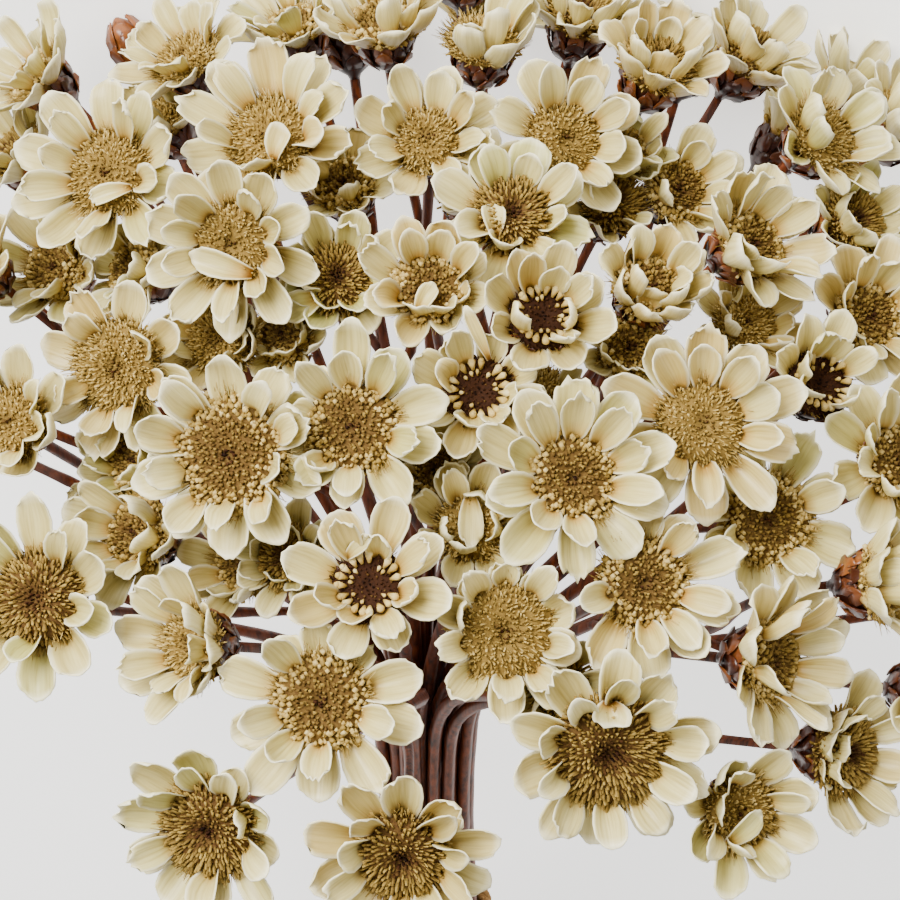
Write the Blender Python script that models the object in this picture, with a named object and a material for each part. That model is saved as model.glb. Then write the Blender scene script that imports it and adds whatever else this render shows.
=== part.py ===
"""A hand-tied bunch of dried strawflowers, lying on a surface with its heads towards -Y.

The bunch is laid out standing, in millimetres: its axis is +Z, the origin is the point that the heads' faces
look away from, and the eye that saw the heads stands on the -Y side. It is then laid down and turned round.
"""

import math

import bpy
import bmesh
from mathutils import Matrix, Vector
from mathutils.bvhtree import BVHTree

MM = 0.001

# The dome of heads, and the eye from which their places were read on a square picture
DOME_RADIUS = 90.0
DOME_HALF_ANGLE = 50.0
EYE_DISTANCE = 480.0
EYE_FROM_AXIS = 30.0
PICTURE_SIDE = 900.0
PICTURE_MIDDLE = PICTURE_SIDE / 2
DOME_CENTRE_DOWN = 220.0
OUTLINE_RADIUS = 738.0

# Stems
SPRAYS = 36
STEM_RADIUS = 0.85
STALK_RADIUS = 0.58
STEM_GAP = 0.35
BUNDLE_TOP = -10.0
BUNDLE_LEFT = 3.0
TIE_HEIGHT = -77.0
CUT_HEIGHT = -150.0
CUT_UNEVENNESS = 7.0
FLARE_AT_CUT = 1.55
FORK_RADIUS = 46.0
FORK_SPACING = 4.0

# The tie, a flat band of twine turns
TIE_WIDTH = 7.0
TIE_THICKNESS = 1.6
TIE_CLEARANCE = 0.3
TIE_SIDES = 20

# One head, as shares of its width across the open petals
DISC_RADIUS = 0.215
DISC_TOP_RADIUS = 0.15
CUP_RADIUS = 0.185
PETAL_LENGTH = 0.36
OUTER_PETAL_WIDTH = 0.285
INNER_PETAL_WIDTH = 0.235
FEW_PETALS_WIDER = 1.14
PETAL_WIDEST = 0.60

# One head, in millimetres along its axis, from the disc's rim
DISC_TOP = 1.3
DISC_PIT = 0.7
PETAL_BAND = 0.9
BASE_LENGTH = 4.6
PETAL_THICKNESS = 0.62
INNER_PETAL_LIFT = 24.0
PETAL_CURL = 9.0
MANY_PETALS = 10
FEW_PETALS = 8
MANY_PETALS_FROM_WIDTH = 18.6

# How heads make room for one another: they sink along their stalks, and petals in the way are lifted or lost
ROOM = 0.36
SINK_STEP = 0.6
SINK_MOST = 15.0
PETAL_CHANGES_MOST = 3
PETAL_CHANGES = ((1.0, 0.0), (0.86, 16.0), (0.8, 32.0), (0.72, 50.0), (0.6, -10.0))

# Heads that show: picture x, picture y, width across when open, cup angle, depth below the dome,
# lean from the dome's own direction, and the way it leans (0 right, 90 up, 180 left, 270 down)
SEEN_HEADS = (
    (110, 175, 20.0, 24, 0, 30, 290),
    (235, 245, 19.0, 26, 0, 32, 275),
    (272, 138, 20.0, 22, 2, 22, 270),
    (428, 142, 17.5, 26, 4, 24, 270),
    (338, 282, 17.0, 34, 7, 16, 300),
    (138, 272, 16.0, 30, 9, 22, 230),
    (58, 270, 17.0, 30, 8, 22, 290),
    (120, 368, 17.5, 12, 3, 26, 275),
    (222, 342, 15.0, 44, 9, 16, 270),
    (232, 455, 20.0, 20, 0, 14, 270),
    (352, 428, 19.5, 22, 1, 14, 270),
    (12, 425, 18.0, 36, 0, 16, 330),
    (-26, 268, 17.0, 34, 0, 14, 300),
    (430, 290, 17.5, 48, 2, 14, 270),
    (565, 140, 18.0, 24, 4, 32, 270),
    (512, 218, 18.0, 24, 3, 18, 270),
    (542, 318, 17.0, 46, 0, 12, 270),
    (478, 392, 17.0, 38, 3, 12, 270),
    (572, 478, 20.0, 18, 0, 8, 260),
    (702, 425, 20.0, 18, 0, 18, 225),
    (648, 290, 17.0, 58, 1, 6, 270),
    (748, 246, 18.5, 42, 0, 18, 320),
    (818, 385, 17.0, 46, 2, 12, 230),
    (820, 140, 18.5, 30, 2, 22, 260),
    (655, 72, 17.5, 52, 0, 10, 270),
    (483, 46, 17.5, 52, 2, 10, 270),
    (866, 318, 17.5, 30, 4, 22, 240),
    (898, 462, 19.0, 20, 1, 14, 190),
    (766, 520, 18.5, 22, 5, 14, 225),
    (645, 583, 19.5, 20, 0, 4, 225),
    (505, 632, 19.0, 26, 2, 0, 0),
    (607, 750, 20.0, 14, 0, 14, 270),
    (766, 660, 19.0, 26, 0, 38, 355),
    (738, 812, 17.5, 40, 2, 0, 0),
    (836, 752, 17.5, 26, 4, 24, 0),
    (926, 690, 16.5, 32, 3, 6, 0),
    (878, 582, 18.0, 52, 0, 36, 358),
    (470, 528, 16.5, 52, 8, 0, 0),
    (370, 587, 18.0, 30, 0, 6, 90),
    (322, 702, 20.0, 14, 0, 0, 0),
    (213, 827, 19.5, 22, 0, 8, 225),
    (403, 852, 19.5, 24, 0, 14, 270),
    (196, 645, 18.0, 36, 2, 28, 180),
    (40, 600, 20.0, 22, 0, 12, 0),
    (140, 535, 17.5, 34, 8, 12, 200),
    (290, 560, 14.0, 44, 12, 0, 0),
    (120, 452, 15.0, 58, 6, 4, 270),
    (40, 78, 17.0, 30, 0, 24, 280),
    (188, 62, 17.0, 30, 3, 20, 270),
    (384, 28, 17.5, 40, 1, 14, 270),
    (580, 22, 17.5, 44, 2, 12, 270),
    (748, 62, 18.0, 40, 3, 20, 270),
    (296, 30, 17.0, 36, 5, 20, 270),
    (900, 128, 17.0, 36, 2, 22, 240),
    (694, 180, 17.0, 40, 6, 26, 270),
    (858, 58, 17.0, 38, 2, 20, 260),
    (612, 205, 15.0, 44, 11, 16, 270),
    (22, 160, 16.0, 34, 7, 20, 300),
    (345, 188, 15.0, 36, 11, 14, 270),
    (165, 122, 15.0, 36, 10, 20, 280),
    (476, 108, 15.0, 36, 10, 20, 270),
    (628, 350, 14.0, 44, 6, 12, 250),
    (744, 325, 15.0, 34, 10, 14, 250),
    (284, 338, 14.0, 44, 12, 12, 280),
    (436, 470, 14.0, 46, 12, 8, 270),
    (232, 562, 15.0, 40, 12, 10, 200),
    (848, 226, 16.0, 36, 8, 22, 250),
    (630, 140, 14.0, 46, 5, 20, 270),
    (540, 400, 14.0, 44, 12, 8, 270),
    (92, 500, 14.0, 44, 9, 10, 200),
    (560, 690, 14.0, 44, 8, 8, 270),
    (880, 12, 17.0, 36, 1, 20, 250),
)

# The one closed bud that shows: picture x, picture y, radius, length, depth below the dome
BUD = (128, 42, 2.1, 6.6, 3.0)

# Heads out of the picture stand on the dome wherever there is this much room
HIDDEN_SPACING = 14.6
HIDDEN_PLACES = 900
HIDDEN_WIDTH = 17.5
HIDDEN_CUP = 30.0
HIDDEN_DEPTHS = (0.0, 6.0, 3.0)
HIDDEN_SHOWS_PAST = 25.0
HIDDEN_SHOWS_PAST_LOWER = 85.0
GOLDEN_ANGLE = math.pi * (3 - math.sqrt(5))

# How the bunch lies: heads below are pressed level with the stem ends
LYING_TILT = 13.8

MATERIALS = {
    "dried_flower": ((0.80, 0.73, 0.54), 0.55),
    "twine": ((0.42, 0.28, 0.15), 0.9),
}


def radians(degrees):
    return math.radians(degrees)


def eye_frame():
    """The direction to the eye, the picture's right and up, the eye itself and the focal length in pixels."""
    tilt = radians(EYE_FROM_AXIS)
    to_eye = Vector((0, -math.sin(tilt), math.cos(tilt)))
    up = Vector((0, math.cos(tilt), math.sin(tilt)))
    right = Vector((1, 0, 0))
    focal = OUTLINE_RADIUS / DOME_RADIUS * math.sqrt(EYE_DISTANCE**2 - DOME_RADIUS**2)
    eye = to_eye * EYE_DISTANCE + up * (DOME_CENTRE_DOWN * EYE_DISTANCE / focal)
    return to_eye, right, up, eye, focal


def on_dome(x, y, depth):
    """The point of the dome, that far below its surface, that the eye sees at that pixel."""
    to_eye, right, up, eye, focal = eye_frame()
    ray = right * ((x - PICTURE_MIDDLE) / focal) - up * ((y - PICTURE_MIDDLE) / focal) - to_eye
    ray.normalize()
    radius = DOME_RADIUS - depth
    along = ray.dot(eye)
    inside = along**2 - (eye.length_squared - radius**2)
    if inside < 0:
        return (eye - ray * along).normalized() * radius
    return eye + ray * (-along - math.sqrt(inside))


def in_picture(point):
    to_eye, right, up, eye, focal = eye_frame()
    seen = point - eye
    away = -seen.dot(to_eye)
    x = PICTURE_MIDDLE + focal * seen.dot(right) / away
    y = PICTURE_MIDDLE - focal * seen.dot(up) / away
    edge = HIDDEN_SHOWS_PAST if y < PICTURE_MIDDLE else HIDDEN_SHOWS_PAST_LOWER
    if y > PICTURE_MIDDLE and 0 < x < PICTURE_SIDE:
        return True
    return -edge < x < PICTURE_SIDE + edge and -edge < y < PICTURE_SIDE + edge


def new_head(out, spot, facing, width, cup, depth):
    return {"out": out, "spot": spot, "facing": facing, "width": width, "cup": cup, "depth": depth,
            "bud": False, "petals": []}


def seen_heads():
    to_eye, right, up, _, _ = eye_frame()
    heads = []
    for x, y, width, cup, depth, lean, towards in SEEN_HEADS:
        spot = on_dome(x, y, depth)
        out = spot.normalized()
        way = right * math.cos(radians(towards)) + up * math.sin(radians(towards))
        facing = (out * math.cos(radians(lean)) + way * math.sin(radians(lean))).normalized()
        heads.append(new_head(out, spot, facing, width, cup, depth))
    x, y, radius, length, depth = BUD
    spot = on_dome(x, y, depth)
    bud = new_head(spot.normalized(), spot, spot.normalized(), 2 * radius, 0.0, depth)
    bud["bud"] = True
    bud["length"] = length
    heads.append(bud)
    return heads


def hidden_heads(seen):
    """Heads on the dome's far and outer parts, on a spiral, wherever there is room outside the picture."""
    cap = 1 - math.cos(radians(DOME_HALF_ANGLE))
    heads = []
    for i in range(HIDDEN_PLACES):
        height = 1 - cap * (i + 0.5) / HIDDEN_PLACES
        turn = i * GOLDEN_ANGLE
        ring = math.sqrt(1 - height**2)
        out = Vector((ring * math.sin(turn), ring * math.cos(turn), height))
        depth = HIDDEN_DEPTHS[len(heads) % len(HIDDEN_DEPTHS)]
        spot = out * (DOME_RADIUS - depth)
        far_side = out.dot(eye_frame()[0]) < math.cos(radians(72))
        near = min((out * DOME_RADIUS - h["out"] * DOME_RADIUS).length for h in seen + heads)
        if near < HIDDEN_SPACING or (in_picture(spot) and not far_side):
            continue
        cup = HIDDEN_CUP + 14 * math.sin(i)
        heads.append(new_head(out, spot, out.copy(), HIDDEN_WIDTH, cup, depth))
    return heads


def spray_directions():
    """Evenly spread directions over the dome, one for each spray."""
    cap = 1 - math.cos(radians(DOME_HALF_ANGLE - 4))
    for i in range(SPRAYS):
        height = 1 - cap * (i + 0.5) / SPRAYS
        ring = math.sqrt(1 - height**2)
        turn = i * GOLDEN_ANGLE
        yield Vector((ring * math.cos(turn), ring * math.sin(turn), height))


def gather_sprays(heads):
    """Each head joins the spray whose direction is nearest, and the middle head of each leads its spray."""
    directions = list(spray_directions())
    sprays = [[] for _ in directions]
    for head in heads:
        nearest = max(range(SPRAYS), key=lambda i: directions[i].dot(head["out"]))
        sprays[nearest].append(head)
    sprays = [s for s in sprays if s]
    for spray in sprays:
        mean = sum((h["out"] for h in spray), Vector()).normalized()
        spray.sort(key=lambda h: h["bud"] - h["out"].dot(mean))
    return sprays


def bundle_slots(sprays):
    """Where each stem stands in the tight bundle: below its spray, pushed apart until none touch."""
    pitch = 2 * STEM_RADIUS + STEM_GAP
    reach = pitch * math.sqrt(len(sprays)) / 2
    scale = reach / math.sin(radians(DOME_HALF_ANGLE))
    slots = []
    for spray in sprays:
        mean = sum((h["out"] for h in spray), Vector()).normalized()
        slots.append(Vector((mean.x, mean.y, 0)) * scale)
    for _ in range(400):
        for i, a in enumerate(slots):
            for b in slots[:i]:
                apart = a - b
                if apart.length < pitch:
                    push = apart.normalized() * (pitch - apart.length) * 0.26
                    a += push
                    b -= push
            a *= 0.9995
    return [slot - Vector((BUNDLE_LEFT, 0, 0)) for slot in slots]


def smooth_path(start, start_way, end, end_way, count):
    """Points along a cubic from start to end that leaves and arrives the given ways."""
    pull = (end - start).length
    points = []
    for i in range(count + 1):
        t = i / count
        points.append(
            start * (2 * t**3 - 3 * t**2 + 1)
            + start_way * pull * (t**3 - 2 * t**2 + t)
            + end * (3 * t**2 - 2 * t**3)
            + end_way * pull * (t**3 - t**2)
        )
    return points


def stem_below_fork(slot, index):
    """The straight part of a stem, from its cut end, through the tie, to where the stems start to spread."""
    cut = CUT_HEIGHT + CUT_UNEVENNESS * math.sin(2.4 * index)
    flare = 1 + (FLARE_AT_CUT - 1) * (TIE_HEIGHT - cut) / (TIE_HEIGHT - CUT_HEIGHT)
    low = Vector((slot.x * flare, slot.y * flare, cut))
    tie = Vector((slot.x, slot.y, TIE_HEIGHT))
    top = Vector((slot.x, slot.y, BUNDLE_TOP))
    return [low, tie, top]


def stem_path(slot, index, fork, way):
    """The whole stem, from its cut end to its fork."""
    low = stem_below_fork(slot, index)
    return low + smooth_path(low[-1], Vector((0, 0, 1)), fork, way, 3)[1:]


def back_along(path, distance):
    """The point of a path that lies so far before its end."""
    for i in range(len(path) - 1, 0, -1):
        length = (path[i] - path[i - 1]).length
        if distance <= length:
            return path[i].lerp(path[i - 1], distance / length)
        distance -= length
    return path[0].copy()


def ring_points(centre, across, along, radius, sides, turn):
    points = []
    for i in range(sides):
        angle = turn + 2 * math.pi * i / sides
        points.append(centre + (across * math.cos(angle) + along * math.sin(angle)) * radius)
    return points


def frames_along(points, last_way, last_across):
    """A way and a sideways direction for each point of a path, turned as little as possible from its end."""
    ways = []
    for i in range(len(points)):
        if i == len(points) - 1:
            ways.append(last_way)
        else:
            ways.append((points[i + 1] - points[max(i - 1, 0)]).normalized())
    across = [None] * len(points)
    across[-1] = last_across
    for i in range(len(points) - 2, -1, -1):
        turned = ways[i + 1].rotation_difference(ways[i]) @ across[i + 1]
        across[i] = (turned - ways[i] * turned.dot(ways[i])).normalized()
    return ways, across


def petal_count(head):
    return MANY_PETALS if head["width"] > MANY_PETALS_FROM_WIDTH else FEW_PETALS


def head_across(head):
    """The direction in the disc's plane that the first petal points in."""
    return head["facing"].cross(Vector((0.31, 0.87, 0.38))).normalized()


def head_rings(head, room=0.0):
    """The rings of points below the petals, between them and on top of the disc."""
    axis = head["facing"]
    across = head_across(head)
    along = axis.cross(across)
    middle = head["spot"]
    petals = petal_count(head)
    turn = -math.pi / petals
    width = head["width"]
    low_radius = width * CUP_RADIUS + room
    low = ring_points(middle - axis * PETAL_BAND, across, along, low_radius, petals, turn)
    rim = ring_points(middle, across, along, width * DISC_RADIUS + room, petals, turn)
    top_radius = width * DISC_TOP_RADIUS + room
    top = ring_points(middle + axis * (DISC_TOP + room), across, along, top_radius, petals, turn)
    return low, rim, top


PETAL_FACES = (
    (1, 5, 7, 3), (0, 2, 6, 4), (0, 4, 5, 1), (2, 3, 7, 6),
    (5, 9, 7), (4, 6, 8), (4, 8, 9, 5), (6, 7, 9, 8),
)


def petal_points(head, i, change, room=0.0):
    """The ten points of a petal: four at the head, four where it is wide, and two at its tip."""
    low, rim, top = head_rings(head)
    j = (i + 1) % len(low)
    outer = i % 2 == 0
    below, above = (low, rim) if outer else (rim, top)
    share, lift = change
    axis = head["facing"]
    cup = radians(head["cup"])
    if not outer:
        cup += radians(INNER_PETAL_LIFT) * math.cos(cup)
    angle = min(cup + radians(lift), radians(84))
    length = head["width"] * PETAL_LENGTH * share
    width = head["width"] * (OUTER_PETAL_WIDTH if outer else INNER_PETAL_WIDTH)
    width *= (0.7 + 0.3 * share) * (1 - 0.2 * math.sin(angle))
    if len(low) == FEW_PETALS:
        width *= FEW_PETALS_WIDER
    root = [below[i], above[i], below[j], above[j]]
    start = sum(root, Vector()) / 4
    out = start - head["spot"]
    out = (out - axis * out.dot(axis)).normalized()
    side = axis.cross(out)
    steep = angle + radians(PETAL_CURL)
    flat = angle - radians(PETAL_CURL)
    wide = start + (out * math.cos(steep) + axis * math.sin(steep)) * (length * PETAL_WIDEST)
    tip = wide + (out * math.cos(flat) + axis * math.sin(flat)) * (length * (1 - PETAL_WIDEST) + room)
    half = (axis * math.cos(angle) - out * math.sin(angle)) * (PETAL_THICKNESS / 2 + room)
    spread = side * (width / 2 + room)
    points = root + [wide - spread - half, wide - spread + half, wide + spread - half, wide + spread + half]
    return points + [tip - half, tip + half]


def petal_tree(head, i, change, room):
    points = petal_points(head, i, change, room)
    middle = sum(points[:4], Vector()) / 4
    reach = sum(points[4:8], Vector()) / 4 - middle
    for k in range(4):
        points[k] = points[k] + reach * 0.25
    return BVHTree.FromPolygons(points, PETAL_FACES, epsilon=0.0)


def add_tube(bm, points, radii, sides, last_way, last_across):
    """Adds a tube that is closed at its start, and returns its last ring of vertices."""
    ways, across = frames_along(points, last_way, last_across)
    lower = None
    for point, way, side, radius in zip(points, ways, across, radii):
        ring = [bm.verts.new(p) for p in ring_points(point, side, way.cross(side), radius, sides, 0.0)]
        if lower is None:
            bm.faces.new(list(reversed(ring)))
        else:
            for i in range(sides):
                j = (i + 1) % sides
                bm.faces.new((lower[i], lower[j], ring[j], ring[i]))
        lower = ring
    return lower


def add_head(bm, head, neck, with_petals=True, room=0.0):
    """Adds a head on the ring where its stalk ends: the dark cone, two rows of petals and the disc."""
    low, rim, top = ([bm.verts.new(p) for p in ring] for ring in head_rings(head, room))
    petals = len(low)
    pit = bm.verts.new(head["spot"] + head["facing"] * (DISC_PIT + room))
    for i in range(len(neck)):
        j = (i + 1) % len(neck)
        a, b, c = low[2 * i], low[2 * i + 1], low[(2 * i + 2) % petals]
        bm.faces.new((neck[i], b, a))
        bm.faces.new((neck[i], neck[j], b))
        bm.faces.new((neck[j], c, b))
    for i in range(petals):
        j = (i + 1) % petals
        bm.faces.new((top[i], top[j], pit))
        change = head["petals"][i] if with_petals else None
        outer = i % 2 == 0
        if change is None or not outer:
            bm.faces.new((low[i], low[j], rim[j], rim[i]))
        if change is None or outer:
            bm.faces.new((rim[i], rim[j], top[j], top[i]))
        if change is None:
            continue
        below, above = (low, rim) if outer else (rim, top)
        verts = [below[i], above[i], below[j], above[j]]
        verts += [bm.verts.new(p) for p in petal_points(head, i, change)[4:]]
        for face in PETAL_FACES:
            bm.faces.new([verts[k] for k in face])


def add_bud(bm, head, neck):
    """Closes a stalk with a small pointed bud."""
    axis = head["facing"]
    across = head_across(head)
    lower = neck
    for up, radius in ((0.2, 0.8), (0.5, 1.0), (0.8, 0.62)):
        centre = head["spot"] + axis * (head["length"] * (up - 0.5))
        points = ring_points(centre, across, axis.cross(across), head["width"] / 2 * radius, len(neck), 0.0)
        ring = [bm.verts.new(p) for p in points]
        for i in range(len(neck)):
            j = (i + 1) % len(neck)
            bm.faces.new((lower[i], lower[j], ring[j], ring[i]))
        lower = ring
    tip = bm.verts.new(head["spot"] + axis * (head["length"] / 2))
    for i in range(len(neck)):
        bm.faces.new((lower[i], lower[(i + 1) % len(neck)], tip))


def flower_mesh(head, points, radii, with_petals=True, room=0.0):
    """One closed mesh: a stalk along the points, and the head at its end."""
    bm = bmesh.new()
    sides = petal_count(head) // 2
    neck = add_tube(bm, points, radii, sides, head["facing"], head_across(head))
    if head["bud"]:
        add_bud(bm, head, neck)
    else:
        add_head(bm, head, neck, with_petals, room)
    bmesh.ops.recalc_face_normals(bm, faces=bm.faces)
    return bm


def tree_of(bm):
    tree = BVHTree.FromBMesh(bm, epsilon=0.0)
    bm.free()
    return tree


def stalk_base(head):
    """Where the stalk ends and the head's cone starts."""
    if head["bud"]:
        return head["spot"] - head["facing"] * (head["length"] / 2)
    return head["spot"] - head["facing"] * (PETAL_BAND + BASE_LENGTH)


def stalk_points(head, start, way):
    """A stalk's points: it leaves a stem, bends round and comes up straight under its head."""
    end = stalk_base(head)
    leaving = (way + (end - start).normalized() * 1.2).normalized()
    return smooth_path(start, leaving, end, head["facing"], 3)


def clear_of(tree, others):
    return not any(tree.overlap(other) for other in others)


def fit_petals(head, near):
    """Keeps each petal as it is where there is room, or else shortens and lifts it, or leaves it out."""
    own = []
    changed = 0
    head["petals"] = []
    for i in range(petal_count(head)):
        chosen = None
        for change in PETAL_CHANGES:
            tree = petal_tree(head, i, change, ROOM)
            plain = petal_tree(head, i, change, 0.1)
            if clear_of(tree, near) and clear_of(plain, own):
                chosen = change
                own.append(petal_tree(head, i, change, 0.0))
                break
        head["petals"].append(chosen)
        changed += chosen != PETAL_CHANGES[0]
    return changed


def settle(head, settled):
    """Sinks a head along its own stalk until its core is clear of the others, and fits its petals."""
    start = head["spot"].copy()
    best = None
    for step in range(int(SINK_MOST / SINK_STEP)):
        sunk = step * SINK_STEP
        head["spot"] = start - head["facing"] * sunk
        press(head)
        near = [t for spot, t in settled if (spot - head["spot"]).length < 60]
        points = stalk_points(head, head["start"], head["way"])[1:]
        core = tree_of(flower_mesh(head, points, [STALK_RADIUS + ROOM] * 3, False, ROOM))
        if not clear_of(core, near):
            continue
        changed = 0 if head["bud"] else fit_petals(head, near)
        if best is None or changed < best[0] - 1:
            best = (changed, head["spot"].copy(), list(head["petals"]), sunk)
        if changed <= PETAL_CHANGES_MOST:
            break
    if best is None:
        return False
    _, head["spot"], head["petals"], head["sunk"] = best
    points = stalk_points(head, head["start"], head["way"])[1:]
    settled.append((head["spot"], tree_of(flower_mesh(head, points, [STALK_RADIUS] * 3))))
    return True


def down():
    """The direction, in the standing bunch, that will point to the surface when it lies."""
    tilt = radians(LYING_TILT)
    return Vector((0, math.cos(tilt), -math.sin(tilt)))


def press(head):
    """Pushes a head that would go through the surface up to it."""
    lowest = head["spot"].dot(down())
    if not head["bud"]:
        for i in range(petal_count(head)):
            lowest = max(lowest, max(p.dot(down()) for p in petal_points(head, i, PETAL_CHANGES[0])[4:]))
    over = lowest - head["limit"]
    if over > 0:
        head["spot"] = head["spot"] - down() * over


def material(name):
    colour, roughness = MATERIALS[name]
    made = bpy.data.materials.new(name)
    made.use_nodes = True
    shader = made.node_tree.nodes["Principled BSDF"]
    shader.inputs["Base Color"].default_value = (*colour, 1)
    shader.inputs["Roughness"].default_value = roughness
    return made


def make_object(name, bm, collection=None):
    mesh = bpy.data.meshes.new(name)
    bm.to_mesh(mesh)
    bm.free()
    obj = bpy.data.objects.new(name, mesh)
    (collection or bpy.context.scene.collection).objects.link(obj)
    return obj


def join_all(first, others):
    """Joins overlapping meshes into one body."""
    if not others:
        return
    parts = bpy.data.collections.new(first.name + "_parts")
    bpy.context.scene.collection.children.link(parts)
    for other in others:
        bpy.context.scene.collection.objects.unlink(other)
        parts.objects.link(other)
    union = first.modifiers.new("union", "BOOLEAN")
    union.operation = "UNION"
    union.operand_type = "COLLECTION"
    union.collection = parts
    union.solver = "MANIFOLD"
    graph = bpy.context.evaluated_depsgraph_get()
    joined = bpy.data.meshes.new_from_object(first.evaluated_get(graph))
    first.modifiers.clear()
    first.data = joined
    for other in list(parts.objects):
        bpy.data.objects.remove(other)
    bpy.data.collections.remove(parts)


def lying_matrix():
    """Turns the standing bunch so that it lies with its heads towards -Y, in metres."""
    tilt = radians(LYING_TILT)
    rows = (
        (-1, 0, 0, 0),
        (0, -math.sin(tilt), -math.cos(tilt), 0),
        (0, -math.cos(tilt), math.sin(tilt), 0),
        (0, 0, 0, 1),
    )
    return Matrix.Scale(MM, 4) @ Matrix(rows)


def make_tie(slots):
    """A flat coil of three twine turns round the bundle."""
    middle = Vector((-BUNDLE_LEFT, 0, 0))
    inside = max((s - middle).length for s in slots) + STEM_RADIUS + TIE_CLEARANCE
    turn = TIE_WIDTH / 3
    profile = [(inside, 0.0), (inside, TIE_WIDTH)]
    for k in (2, 1, 0):
        for share in (0.85, 0.5, 0.15):
            bulge = TIE_THICKNESS * (1.0 if share == 0.5 else 0.72)
            profile.append((inside + bulge, turn * (k + share)))
    bm = bmesh.new()
    rings = []
    bottom = Vector((-BUNDLE_LEFT, 0, TIE_HEIGHT - TIE_WIDTH / 2))
    for i in range(TIE_SIDES):
        angle = 2 * math.pi * i / TIE_SIDES
        across = Vector((math.cos(angle), math.sin(angle), 0))
        rings.append([bm.verts.new(bottom + across * r + Vector((0, 0, z))) for r, z in profile])
    for i in range(TIE_SIDES):
        here, there = rings[i], rings[(i + 1) % TIE_SIDES]
        for k in range(len(profile)):
            m = (k + 1) % len(profile)
            bm.faces.new((here[k], there[k], there[m], here[m]))
    bmesh.ops.recalc_face_normals(bm, faces=bm.faces)
    return make_object("tie", bm)


def main():
    for obj in list(bpy.data.objects):
        bpy.data.objects.remove(obj)
    heads = seen_heads()
    heads += hidden_heads(heads)
    sprays = gather_sprays(heads)
    slots = bundle_slots(sprays)
    lows = [stem_below_fork(slot, i)[0] for i, slot in enumerate(slots)]
    limit = max(low.dot(down()) for low in lows) + STEM_RADIUS
    stems = []
    for n, (spray, slot) in enumerate(zip(sprays, slots)):
        mean = sum((h["out"] for h in spray), Vector()).normalized()
        stem = stem_path(slot, n, mean * FORK_RADIUS, mean)
        stems.append(stem)
        for k, head in enumerate(spray):
            head["start"] = back_along(stem, k * FORK_SPACING)
            head["way"] = mean
            head["limit"] = limit
    settled = []
    for head in sorted(heads, key=lambda h: h["depth"]):
        if not settle(head, settled):
            print("no room", [round(v) for v in head["spot"]])
            head["width"] = 0
    petals = material("dried_flower")
    bodies = []
    for n, (spray, stem) in enumerate(zip(sprays, stems)):
        parts = []
        spray = [h for h in spray if h["width"]]
        for k, head in enumerate(spray):
            stalk = stalk_points(head, head["start"], head["way"])
            radii = [STALK_RADIUS] * len(stalk)
            if k == 0:
                stalk = stem + stalk[1:]
                radii = [STEM_RADIUS] * len(stem) + radii[1:]
            parts.append(make_object(f"part_{k}", flower_mesh(head, stalk, radii)))
        first = parts[0]
        first.name = f"spray_{n + 1:02d}"
        first.data.name = first.name
        join_all(first, parts[1:])
        first.data.materials.append(petals)
        bodies.append(first)
    tie = make_tie(slots)
    tie.data.materials.append(material("twine"))
    bodies.append(tie)
    turn = lying_matrix()
    for body in bodies:
        body.data.transform(turn)
    corners = [v.co for body in bodies for v in body.data.vertices]
    middle = [(max(c[k] for c in corners) + min(c[k] for c in corners)) / 2 for k in (0, 1)]
    shift = Vector((-middle[0], -middle[1], -min(c.z for c in corners)))
    for body in bodies:
        body.data.transform(Matrix.Translation(shift))
        for face in body.data.polygons:
            face.use_smooth = True
        body.data.update()
    print("heads", len(heads), "sprays", len(sprays), "triangles",
          sum(len(p.vertices) - 2 for body in bodies for p in body.data.polygons))


main()
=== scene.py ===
import math
import random

import bmesh
import bpy
from mathutils import Matrix, Vector, noise


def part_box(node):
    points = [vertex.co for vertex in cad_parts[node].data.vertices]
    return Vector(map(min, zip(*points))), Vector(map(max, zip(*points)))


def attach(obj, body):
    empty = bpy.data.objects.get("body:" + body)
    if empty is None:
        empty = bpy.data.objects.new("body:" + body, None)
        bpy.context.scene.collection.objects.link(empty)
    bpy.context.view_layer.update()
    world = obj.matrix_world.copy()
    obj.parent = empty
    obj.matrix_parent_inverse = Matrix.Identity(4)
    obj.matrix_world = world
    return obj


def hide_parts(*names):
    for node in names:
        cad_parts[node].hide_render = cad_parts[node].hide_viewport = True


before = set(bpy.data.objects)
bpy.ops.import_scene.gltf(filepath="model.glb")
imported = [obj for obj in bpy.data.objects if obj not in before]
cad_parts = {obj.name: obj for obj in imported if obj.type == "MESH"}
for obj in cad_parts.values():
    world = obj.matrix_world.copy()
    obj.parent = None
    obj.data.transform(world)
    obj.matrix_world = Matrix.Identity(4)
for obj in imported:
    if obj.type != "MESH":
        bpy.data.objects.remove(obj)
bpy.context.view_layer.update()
mm = 0.001
up = Vector((0, 0, 1))
goldenAngle = 2.39996  # in radians: what real florets turn by from one to the next
seed = 7  # another number gives other petals, florets, scales and knots

bunch = {  # the sizes that the solids were made with, in millimetres and degrees
    "lyingTilt": 13.8, "tieHeight": -77.0, "pitHeight": 0.7, "topRing": 0.15, "neckDepth": 5.5,
    "stemRadius": 0.85, "stalkRadius": 0.58, "budLength": 6.6, "budRadius": 2.1,
}
photoView = {  # where the photograph was taken from, measured on the bunch
    "fromAxis": 30.0, "distance": 480.0, "domeRadius": 90.0, "outlinePixels": 738.0,
    "centreDown": 220.0, "pictureSide": 900.0, "sensor": 36.0, "stemsLeft": 3.0,
}


def placed(name, data):  # an object in the scene
    made = bpy.data.objects.new(name, data)
    bpy.context.scene.collection.objects.link(made)
    return made


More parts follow.
